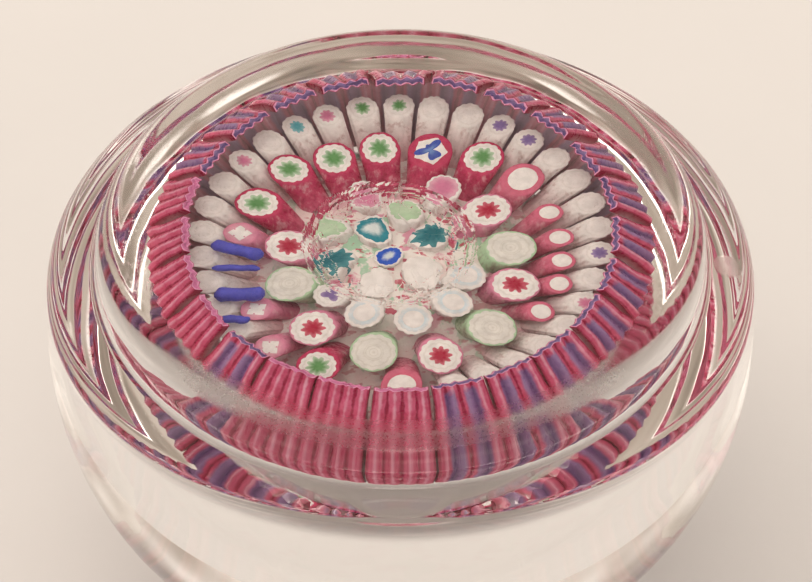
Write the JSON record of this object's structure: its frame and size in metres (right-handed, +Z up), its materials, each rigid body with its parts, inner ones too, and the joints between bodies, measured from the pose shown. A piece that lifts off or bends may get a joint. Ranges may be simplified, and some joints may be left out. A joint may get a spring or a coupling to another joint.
{
  "type": "millefiori_paperweight",
  "caption": "Clear glass paperweight lying on its dome, base up, with a ring of pink and mauve staves round rings of patterned canes",
  "frame": {"origin": "middle of the crown of the dome, where the weight touches the table", "axes": "+Z up along the axis from the dome to the base; +X and +Y across the weight, with the blue rods on the -X side"},
  "size_m": [0.08, 0.08, 0.0535],
  "materials": {
    "clear_glass": "clear colourless cast glass, worn on the base",
    "fractured_glass": "clear glass, fractured and uneven",
    "white_glass": "opaque white cane glass",
    "red_glass": "deep red cane glass",
    "pink_glass": "translucent pink cane glass",
    "mauve_glass": "opaque mauve cane glass",
    "green_glass": "green cane glass",
    "pale_green_glass": "pale translucent green cane glass",
    "pale_blue_glass": "pale blue cane glass",
    "blue_glass": "strong blue cane glass",
    "turquoise_glass": "turquoise cane glass"
  },
  "bodies": {
    "root": {"base_disc": "clear_glass", "blue_figure_casings": "red_glass", "blue_figure_cores": "blue_glass", "blue_figure_jackets": "white_glass", "blue_rods": "blue_glass", "centre_blue_cane": "blue_glass", "centre_casings": "white_glass", "centre_green_canes": "pale_green_glass", "centre_pink_canes": "pink_glass", "centre_teal_canes": "turquoise_glass", "centre_turquoise_cane": "turquoise_glass", "centre_white_canes": "white_glass", "crescent_casings": "red_glass", "crescent_middles": "white_glass", "dome_casing": "clear_glass", "green_star_casings": "red_glass", "green_star_cores": "green_glass", "green_star_jackets": "white_glass", "lattice_casings": "pink_glass", "lattice_cores": "pink_glass", "lattice_jackets": "white_glass", "mauve_figure_core": "mauve_glass", "mauve_figure_jacket": "white_glass", "mauve_stave_bodies": "pink_glass", "mauve_stave_cores": "mauve_glass", "mauve_stave_skins": "red_glass", "outer_green_stars": "green_glass", "outer_mauve_stars": "mauve_glass", "outer_pink_stars": "pink_glass", "outer_ring_jackets": "white_glass", "outer_turquoise_star": "turquoise_glass", "outer_white_stars": "white_glass", "pale_blue_ring_casings": "white_glass", "pale_blue_ring_cores": "white_glass", "pale_blue_ring_jackets": "pale_blue_glass", "pale_green_casings": "pale_green_glass", "pale_green_cores": "white_glass", "pale_green_jackets": "white_glass", "pink_stave_bodies": "pink_glass", "pink_stave_skins": "red_glass", "pontil_scar": "fractured_glass", "red_star_casings": "pink_glass", "red_star_cores": "red_glass", "red_star_jackets": "white_glass", "set_gather": "clear_glass", "small_oval_casings": "red_glass", "small_oval_cores": "white_glass", "small_oval_jackets": "pink_glass"}
  },
  "joints": []
}
